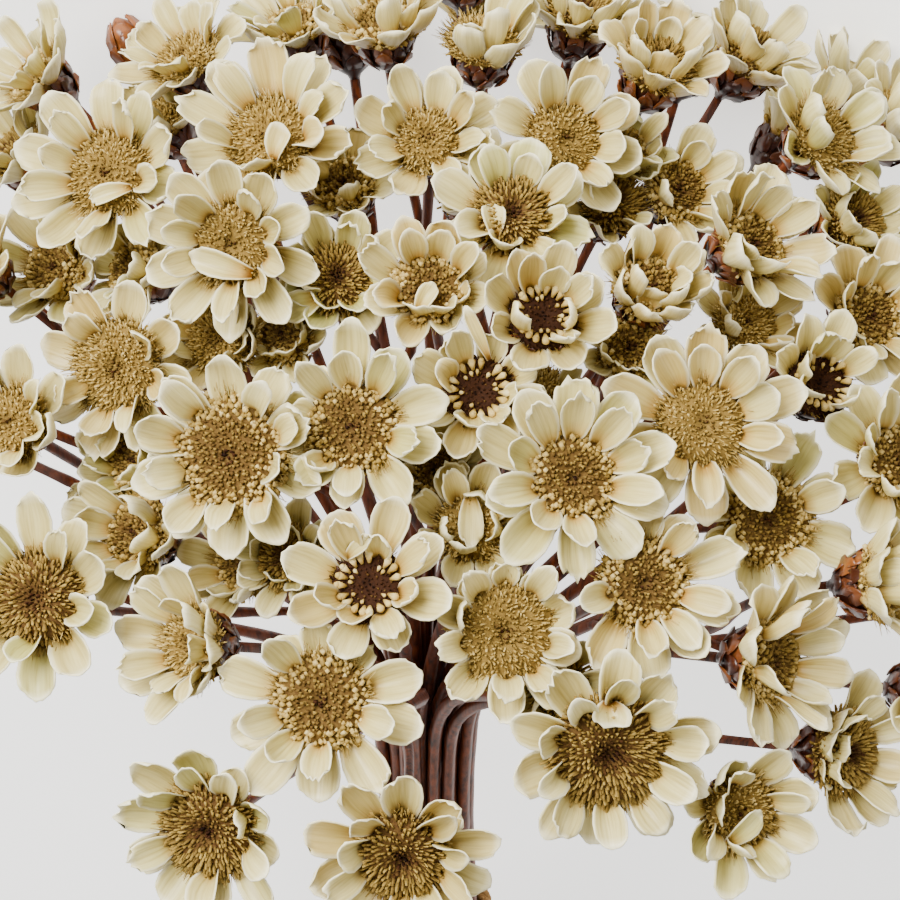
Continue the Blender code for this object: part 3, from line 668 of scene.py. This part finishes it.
# Discs: sizes in millimetres, tones from 0 dark to 1 pale
discMake = {  # the outline has (share of the radius, height), and the radius is a share of the head's width
    "outline": ((0.84, -0.7), (1.0, 0.2), (0.86, 0.75), (0.6, 1.15), (0.32, 1.05), (0.12, 0.7), (0.0, 0.5)),
    "radius": 0.222, "placeWithin": 45, "otherKinds": ("grain", "bristle", "grain", "dome"),
    "otherWider": (1.0, 1.1),
}
floretMake = {  # millimetres, shares of the disc's radius, and how much florets differ from one another
    "edge": 0.06, "within": 0.98, "sunk": 0.2, "turned": 0.06, "stout": (0.65, 1.35), "long": (0.75, 1.2),
    "rootTone": 0.82, "pitShare": 0.22, "pitDarker": 0.35, "knobFrom": 0.2,
}
discKinds = {  # a floret's size is its foot's radius, its top's radius and its length
    "grain": {  # fine brown middle, two or three rows of pale knobs, ochre fringe
        "rise": 1.1, "bed": 0.3, "florets": 350, "paleFrom": 0.58, "lean": 0.85, "spread": 0.45,
        "inner": (0.14, 0.2, 0.75), "innerTones": (0.29, 0.55), "outer": (0.15, 0.26, 0.8),
        "outerTones": (0.46, 0.86), "skip": 0.08, "clubs": 0, "fringe": 170, "fringeLength": 1.6,
        "fringeTone": 0.66,
    },
    "star": {  # dark middle and a ring of pale clubs with dark gaps; no floret lies far enough out to be pale
        "rise": 0.8, "bed": 0.1, "florets": 230, "paleFrom": 9.0, "lean": 0.7, "spread": 0.4,
        "inner": (0.16, 0.1, 0.55), "innerTones": (0.06, 0.28), "outer": (0.1, 0.1, 0.3),
        "outerTones": (0.1, 0.2), "skip": 0.0, "clubs": 19, "fringe": 60, "fringeLength": 1.0,
        "fringeTone": 0.4,
    },
    "dome": {  # high and brown, thatched with blunt overlapping tips
        "rise": 2.1, "bed": 0.26, "florets": 330, "paleFrom": 0.3, "lean": 1.3, "spread": 0.25,
        "inner": (0.2, 0.14, 0.8), "innerTones": (0.22, 0.42), "outer": (0.22, 0.13, 1.05),
        "outerTones": (0.4, 0.66), "skip": 0.0, "clubs": 0, "fringe": 150, "fringeLength": 1.4,
        "fringeTone": 0.6,
    },
    "bristle": {  # wide golden cushion of short bristles round a dark pit
        "rise": 1.4, "bed": 0.44, "florets": 430, "paleFrom": 0.3, "lean": 1.05, "spread": 0.5,
        "inner": (0.13, 0.15, 0.75), "innerTones": (0.38, 0.64), "outer": (0.15, 0.11, 0.9),
        "outerTones": (0.48, 0.8), "skip": 0.0, "clubs": 0, "fringe": 180, "fringeLength": 1.6,
        "fringeTone": 0.68,
    },
}
discPlaces = {  # pixels where the photograph shows each kind, and how much wider than usual the disc is there
    "star": ((542, 318, 1.0), (478, 392, 1.0), (370, 587, 1.0), (818, 385, 1.0)),
    "dome": ((607, 750, 1.4), (213, 827, 1.2), (403, 852, 1.1), (40, 600, 1.15), (836, 752, 1.1)),
    "bristle": ((110, 175, 1.1), (235, 245, 1.1), (272, 138, 1.1), (120, 368, 1.35), (505, 632, 1.35),
                (222, 342, 1.25), (702, 425, 1.1), (738, 812, 1.05)),
    "grain": ((232, 455, 1.45), (352, 428, 1.15), (645, 583, 1.1), (322, 702, 1.15), (766, 520, 1.2),
              (572, 478, 1.1)),
}


def discOf(head):  # a head's kind of disc, and how much wider than usual it is
    places = [(Vector(place[:2]), place[2], kind) for kind, listed in discPlaces.items() for place in listed]
    place, wide, kind = min(places, key=lambda entry: (entry[0] - head["pixel"]).length)
    if (place - head["pixel"]).length > discMake["placeWithin"]:  # the other heads draw theirs
        rng = random.Random(round(head["pixel"].x * 1000 + head["pixel"].y))
        kind = rng.choice(discMake["otherKinds"])
        wide = rng.uniform(*discMake["otherWider"])
    return discKinds[kind], wide


def discHeight(share, kind):  # the disc's height at a share of its radius
    for (outer, low), (inner, high) in zip(discMake["outline"], discMake["outline"][1:]):
        if inner <= share <= outer:
            return (low + (high - low) * (outer - share) / (outer - inner)) * kind["rise"] * mm
    return 0.0


def outwards(head, angle):  # a way out from the middle of a head
    across, along = sidesOf(head["axis"])
    return across * math.cos(angle) + along * math.sin(angle)


def leaning(head, angle, lean, turned):  # the way out, and one that leans towards it
    out = outwards(head, angle)
    way = head["axis"] * math.cos(lean) + out * math.sin(lean) + head["axis"].cross(out) * turned
    return out, way.normalized()


def addFloret(bm, head, kind, radius, share, angle, rng):
    make = floretMake
    pale = share > kind["paleFrom"] + rng.uniform(-1, 1) * make["edge"]
    if pale and rng.random() < kind["skip"]:
        return
    foot, top, length = kind["outer"] if pale else kind["inner"]
    low, high = kind["outerTones"] if pale else kind["innerTones"]
    lean = share * kind["lean"] + rng.uniform(-1, 1) * kind["spread"]
    turned = rng.uniform(-1, 1) * kind["spread"]
    out, way = leaning(head, angle, lean, turned)
    height = discHeight(share, kind) - make["sunk"] * mm
    base = head["seat"] + out * radius * share * make["within"] + head["axis"] * height
    tone = rng.uniform(low, high) - make["pitDarker"] * max(0.0, 1 - share / make["pitShare"])
    stout = rng.uniform(*make["stout"]) * mm
    long = length * rng.uniform(*make["long"]) * mm
    sides = 4 if top > make["knobFrom"] else 3  # only the fat knobs need a fourth side
    addPeg(bm, base, way, (foot * stout, top * stout, long), sides, tone * make["rootTone"], tone)


clubMake = {  # an outer ring of clubs and a few small ones inside it, at shares of the disc's radius
    "thick": (0.38, 0.48), "long": (1.15, 1.45), "ring": 0.56, "ringShare": 0.92, "lean": (0.9, 1.2),
    "tones": (0.72, 0.94), "foot": 0.35, "end": 0.5, "wedge": 0.75, "up": 0.25,
    "smallThick": 0.55, "smallLong": (0.5, 0.7), "smallRing": 0.4, "smallShare": 0.35,
}


def addClub(bm, head, kind, radius, share, angle, thick, long, rng):  # a wedge with a rounded end
    make = clubMake
    out, way = leaning(head, angle, rng.uniform(*make["lean"]), rng.uniform(-0.08, 0.08))
    base = head["seat"] + out * radius * share + head["axis"] * (discHeight(share, kind) + make["up"] * mm)
    tone = rng.uniform(*make["tones"])
    wedge = long * make["wedge"]
    addPeg(bm, base, way, (thick * make["foot"], thick, wedge), 6, tone - 0.3, tone)
    addPeg(bm, base + way * wedge, way, (thick, thick * make["end"], long - wedge), 6, tone, tone - 0.06)


def addClubs(bm, head, kind, radius, rng):
    make = clubMake
    count = kind["clubs"]
    for i in range(count):
        angle = 2 * math.pi * i / count + rng.uniform(-0.06, 0.06)
        thick = rng.uniform(*make["thick"]) * mm
        if rng.random() < make["ringShare"]:
            long = rng.uniform(*make["long"]) * mm
            addClub(bm, head, kind, radius, make["ring"], angle, thick, long, rng)
        if rng.random() < make["smallShare"]:
            between, thin = angle + math.pi / count, thick * make["smallThick"]
            long = rng.uniform(*make["smallLong"]) * mm
            addClub(bm, head, kind, radius, make["smallRing"], between, thin, long, rng)


hairMake = {"lean": (0.5, 1.3), "turned": 0.4, "ring": (0.88, 1.0), "up": 0.3, "foot": 0.07, "tip": 0.03}


def addHair(bm, head, kind, radius, angle, rng):  # real hairs are finer, and would not show at this size
    make = hairMake
    out, way = leaning(head, angle, rng.uniform(*make["lean"]), rng.uniform(-1, 1) * make["turned"])
    share = rng.uniform(*make["ring"])
    height = discHeight(share, kind) + rng.uniform(0, make["up"]) * mm
    base = head["seat"] + out * radius * share + head["axis"] * height
    tone = kind["fringeTone"] + rng.uniform(-0.15, 0.22)
    long = kind["fringeLength"] * rng.uniform(0.65, 1.2) * mm
    addPeg(bm, base, way, (make["foot"] * mm, make["tip"] * mm, long), 3, tone - 0.08, tone)


def dressDisc(bm, head, rng):
    kind, wide = discOf(head)
    radius = head["width"] * discMake["radius"] * wide
    part = newSheet()
    (footShare, footDown), *top = discMake["outline"]
    foot = [(0.0, -1.0 * mm), (footShare * radius / wide, footDown * mm)]
    bed = [(share * radius, height * kind["rise"] * mm) for share, height in top]
    spinProfile(part, head["seat"], head["axis"], foot + bed, kind["bed"])
    if kind["clubs"]:
        addClubs(part, head, kind, radius, rng)
    joinInto(bm, part)
    florets = round(kind["florets"] * wide**2)
    hairs = round(kind["fringe"] * wide)

    def oneFloret(batch, i):
        angle = i * goldenAngle + rng.uniform(-1, 1) * floretMake["turned"]
        addFloret(batch, head, kind, radius, math.sqrt((i + 0.5) / florets), angle, rng)

    def oneHair(batch, i):
        addHair(batch, head, kind, radius, 2 * math.pi * (i + rng.random()) / hairs, rng)

    inBatches(bm, florets, oneFloret)
    inBatches(bm, hairs, oneHair)


def makeDiscs(spray, number):
    bm = newSheet()
    for h, head in enumerate(h for h in spray["heads"] if h["open"]):
        dressDisc(bm, head, random.Random(seed * 2000 + number * 10 + h))
    bmesh.ops.recalc_face_normals(bm, faces=bm.faces)
    return finishPiece(f"disc_{number:02d}", bm, "florets", spray["node"])


# Husks: the brown cones below the heads, and the closed bud
huskMake = {  # the cone's (share of the head's width, extra radius, height); scales' (height, length, count)
    "cone": ((0.0, 0.0, -5.9), (0.0, 0.58, -5.9), (0.0, 0.85, -5.3), (0.085, 0.3, -4.6), (0.135, 0.1, -3.6),
             (0.165, 0.0, -2.4), (0.182, 0.0, -1.2), (0.19, 0.0, -0.2), (0.0, 0.0, 0.1)),
    "scaleRows": ((-4.3, 1.9, 7), (-3.0, 2.3, 9), (-2.0, 2.5, 10)), "scaleWidths": (0.1, 0.13),
    "scaleOff": (0.05, 0.2, 0.28), "coneTone": 0.15, "scaleTones": (0.15, 0.8),
}
budMake = {  # the bud's (share of its radius, share of its length from the middle); scales' (height, count)
    "body": ((0.0, -0.5), (0.25, -0.5), (0.6, -0.42), (0.88, -0.24), (1.0, -0.02), (0.86, 0.2), (0.5, 0.38),
             (0.16, 0.48), (0.0, 0.5)),
    "scaleRows": ((-0.42, 5), (-0.2, 6), (0.02, 6)), "scaleWidth": 1.9,
    "scaleSpots": ((0.0, 0.05), (0.25, 0.12), (0.42, 0.1)), "bodyTone": 0.75, "scaleTones": (0.55, 1.0),
}


def coneOf(head):  # (radius, height) pairs
    return [(share * head["width"] + extra * mm, z * mm) for share, extra, z in huskMake["cone"]]


def coneRadius(head, height):
    points = coneOf(head)
    for (lowRadius, low), (highRadius, high) in zip(points, points[1:]):
        if low <= height < high:
            return lowRadius + (highRadius - lowRadius) * (height - low) / (high - low)
    return points[-2][0]


def addScale(bm, head, angle, spots, width, rng, tones):  # spots are three (radius, height) pairs
    out = outwards(head, angle)
    root, wide, tip = (head["seat"] + out * r + head["axis"] * z for r, z in spots)
    scale = {"root": root, "wide": wide, "tip": tip, "side": head["axis"].cross(out), "width": width}
    petalSheet(bm, scale, -out, rng, scaleMake, tones)


def dressCone(bm, head, rng):
    for base, long, count in huskMake["scaleRows"]:
        for i in range(count):
            angle = 2 * math.pi * (i + 0.5 * (count % 2)) / count + rng.uniform(-0.15, 0.15)
            heights = (base * mm, (base + long * 0.6) * mm, (base + long) * mm)
            spots = [(coneRadius(head, z) + off * mm, z) for z, off in zip(heights, huskMake["scaleOff"])]
            width = rng.uniform(*huskMake["scaleWidths"]) * head["width"]
            addScale(bm, head, angle, spots, width, rng, huskMake["scaleTones"])


def dressBud(bm, head, rng):
    radius, length = bunch["budRadius"] * mm, bunch["budLength"] * mm
    for base, count in budMake["scaleRows"]:
        for i in range(count):
            angle = 2 * math.pi * (i + 0.5 * (count % 2)) / count + rng.uniform(-0.1, 0.1)
            spots = []
            for part, off in budMake["scaleSpots"]:  # on an egg-shaped body, a little off it
                reach = math.sqrt(max(0.0, 1 - ((base + part) / 0.5) ** 2))
                spots.append((radius * reach + off * mm, (base + part) * length))
            addScale(bm, head, angle, spots, budMake["scaleWidth"] * mm, rng, budMake["scaleTones"])


def makeHusks(spray, number):
    bodies, scales = newSheet(), newSheet()
    budRadius, budLength = bunch["budRadius"] * mm, bunch["budLength"] * mm
    for h, head in enumerate(spray["heads"]):
        rng = random.Random(seed * 3000 + number * 10 + h)
        if head["open"]:
            spinProfile(bodies, head["seat"], head["axis"], coneOf(head), huskMake["coneTone"])
            dressCone(scales, head, rng)
        else:
            body = [(share * budRadius, z * budLength) for share, z in budMake["body"]]
            spinProfile(bodies, head["seat"], head["axis"], body, budMake["bodyTone"])
            dressBud(scales, head, rng)
    bmesh.ops.recalc_face_normals(bodies, faces=bodies.faces)
    finishPiece(f"husk_{number:02d}", bodies, "husk", spray["node"])
    return finishPiece(f"scales_{number:02d}", scales, "husk", spray["node"],
                       scaleMake["thickness"])


# Stems
stemMake = {  # millimetres, and shares of a stem's radius
    "step": 3.0, "wobble": 0.14, "knotShare": 0.06, "knotSize": 0.16, "taperOver": 30.0,
    "intoHusk": 0.6, "branchBelow": 1.5, "branchSteps": 9,
}


def smoothed(points, step):  # even short steps along a curve through the points
    line = []
    for i in range(len(points) - 1):
        before = points[i - 1] if i else points[0] * 2 - points[1]
        after = points[i + 2] if i + 2 < len(points) else points[-1] * 2 - points[-2]
        a, b = points[i], points[i + 1]
        length = (b - a).length
        leave = (b - before).normalized() * length
        arrive = (after - a).normalized() * length
        steps = max(1, round(length / step))
        for k in range(steps):
            t = k / steps
            line.append(a * (2 * t**3 - 3 * t**2 + 1) + leave * (t**3 - 2 * t**2 + t)
                        + b * (3 * t**2 - 2 * t**3) + arrive * (t**3 - t**2))
    return line + [points[-1]]


def newTubes(name, sidesLevel):
    curve = bpy.data.curves.new(name, "CURVE")
    curve.dimensions = "3D"
    curve.bevel_depth = 1.0
    curve.bevel_resolution = sidesLevel
    curve.use_fill_caps = True
    return curve


def addTube(curve, points, radii):
    spline = curve.splines.new("POLY")
    spline.points.add(len(points) - 1)
    for spot, point, radius in zip(spline.points, points, radii):
        spot.co = (*point, 1.0)
        spot.radius = radius


def meshOfTubes(curve):
    source = placed("tubes", curve)
    graph = bpy.context.evaluated_depsgraph_get()
    mesh = bpy.data.meshes.new_from_object(source.evaluated_get(graph))
    bm = bmesh.new()
    bm.from_mesh(mesh)
    bpy.data.objects.remove(source)
    bpy.data.curves.remove(curve)
    bpy.data.meshes.remove(mesh)
    bmesh.ops.remove_doubles(bm, verts=bm.verts, dist=1e-6)
    bmesh.ops.recalc_face_normals(bm, faces=bm.faces)
    return bm


def barkRadii(line, low, high, rng):  # from the low end's radius to the high end's, with swellings and knots
    radii = []
    for i, spot in enumerate(line):
        fromTop = (len(line) - 1 - i) * stemMake["step"]
        share = min(1.0, max(0.0, fromTop / stemMake["taperOver"] - 1))
        thick = high + (low - high) * share
        knot = stemMake["knotSize"] if rng.random() < stemMake["knotShare"] else 0.0
        wobble = stemMake["wobble"] * noise.noise(spot * 90)  # a wave each 11 mm
        radii.append(thick * mm * (1 + wobble + knot))
    return radii


def branchFrom(main, stalk):  # where a side stalk leaves the main stem, with a short run inside it first
    low, above = stalk[-1], stalk[-2]
    way = (low - above).normalized()
    candidates = [i for i in range(2, len(main)) if (main[i] - low).dot(way) > stemMake["branchBelow"] * mm]
    # the step nearest to the stalk's own line, and rather near than far
    best = min(candidates, key=lambda i: (main[i] - low).cross(way).length + 0.3 * (main[i] - low).length)
    return [main[best - 1], main[best]]


def makeStems(spray, number):
    curve = newTubes("stems", 1)
    rng = random.Random(seed * 4000 + number)
    stem = spray["stem"]
    rising = (stem[-1] - stem[-2]).normalized()
    heads = sorted(spray["heads"], key=lambda h: -(h["stalk"][-1] - stem[-1]).normalized().dot(rising))
    main = smoothed(stem + list(reversed(heads[0]["stalk"])), stemMake["step"] * mm)
    fork = len(smoothed(stem, stemMake["step"] * mm)) - 1
    for head in heads:
        lead = head is heads[0]  # the head that the main stem runs on to
        if lead:
            line = list(main)
        else:
            start = branchFrom(main[:fork + stemMake["branchSteps"]], head["stalk"])
            line = smoothed(start + list(reversed(head["stalk"])), stemMake["step"] * mm)
        line.append(head["neck"] + head["axis"] * stemMake["intoHusk"] * mm)
        low = bunch["stemRadius"] if lead else bunch["stalkRadius"]
        addTube(curve, line, barkRadii(line, low, bunch["stalkRadius"], rng))
    return finishPiece(f"stem_{number:02d}", meshOfTubes(curve), "stalk", spray["node"])


for number, spray in enumerate(sprays, 1):
    makePetals(spray, number)
    makeDiscs(spray, number)
    makeHusks(spray, number)
    makeStems(spray, number)
print("sprays dressed")


# The tie
tieMake = {  # millimetres, and the pitch in twine radii
    "turns": 3.0, "pitch": 2.16, "twineRadius": 1.0, "strandRadius": 0.56, "lay": 4.5, "stepMm": 0.5,
    "tuck": 1.0, "tuckOver": 3.0,
}


def makeTie():
    make = tieMake
    centre = (tieLow + tieHigh) / 2
    across = Vector((1, 0, 0))
    along = bunchAxis.cross(across)
    radius = (tieHigh.x - tieLow.x) / 2 - make["twineRadius"] * mm
    length = 2 * math.pi * radius * make["turns"]
    count = int(length / (make["stepMm"] * mm))
    curve = newTubes("twine", 1)
    for strand in range(3):
        points = []
        for i in range(count + 1):
            share = i / count
            angle = 2 * math.pi * make["turns"] * share
            out = across * math.cos(angle) + along * math.sin(angle)
            height = (share - 0.5) * (make["turns"] - 1) * make["pitch"] * make["twineRadius"] * mm
            fromEnd = min(share, 1 - share) * length
            nearEnd = max(0.0, 1 - fromEnd / (make["tuckOver"] * mm))  # both ends tuck under
            middle = centre + out * (radius - nearEnd * make["tuck"] * mm) + bunchAxis * height
            roll = share * length / (make["lay"] * mm) * 2 * math.pi + strand * 2 * math.pi / 3
            off = (make["twineRadius"] - make["strandRadius"]) * mm
            points.append(middle + (out * math.cos(roll) + bunchAxis * math.sin(roll)) * off)
        addTube(curve, points, [make["strandRadius"] * mm] * len(points))
    return finishPiece("tie_twine", meshOfTubes(curve), "twine", "tie")


makeTie()
print("tie made")

# The stage: a pale floor and soft light from the picture's upper left
stageLook = {
    "floor": "#FDFCFA", "roughness": 0.9, "gloss": 0.2, "glow": 1.1, "floorSize": 6.0, "sky": "#FBF9F5",
    "skyStrength": 0.7, "litMiddle": 0.05,
}
lamps = {  # place from the heads' middle and size in metres, and power in watts
    "keyLight": ((0.45, -0.85, 0.35), 0.6, 28.0),
    "fillLight": ((-0.5, 0.1, 1.0), 1.0, 4.0),
}


def makeFloor():
    bm = bmesh.new()
    bmesh.ops.create_grid(bm, x_segments=1, y_segments=1, size=stageLook["floorSize"] / 2)
    mesh = bpy.data.meshes.new("floor")
    bm.to_mesh(mesh)
    bm.free()
    floor = placed("floor", mesh)
    material, tree, shader = newMaterial("mattPaper", stageLook)
    shader.inputs["Base Color"].default_value = linear(stageLook["floor"])
    shader.inputs["Emission Color"].default_value = linear(stageLook["floor"])
    shader.inputs["Emission Strength"].default_value = stageLook["glow"]
    mesh.materials.append(material)


def softLight(name, place, target, size, power):
    data = bpy.data.lights.new(name, "AREA")
    data.shape = "SQUARE"
    data.size = size
    data.energy = power
    lamp = placed(name, data)
    turned = (place - target).to_track_quat("Z", "Y").to_matrix().to_4x4()
    lamp.matrix_world = Matrix.Translation(place) @ turned


def makeSky():
    world = bpy.data.worlds.new("softSky")
    world.use_nodes = True
    sky = world.node_tree.nodes["Background"]
    sky.inputs["Color"].default_value = linear(stageLook["sky"])
    sky.inputs["Strength"].default_value = stageLook["skyStrength"]
    bpy.context.scene.world = world


makeFloor()
headsMiddle = domeCentre + bunchAxis * stageLook["litMiddle"]
for name, (place, size, power) in lamps.items():
    softLight(name, headsMiddle + Vector(place), headsMiddle, size, power)
makeSky()
print("stage set")

bpy.context.view_layer.update()
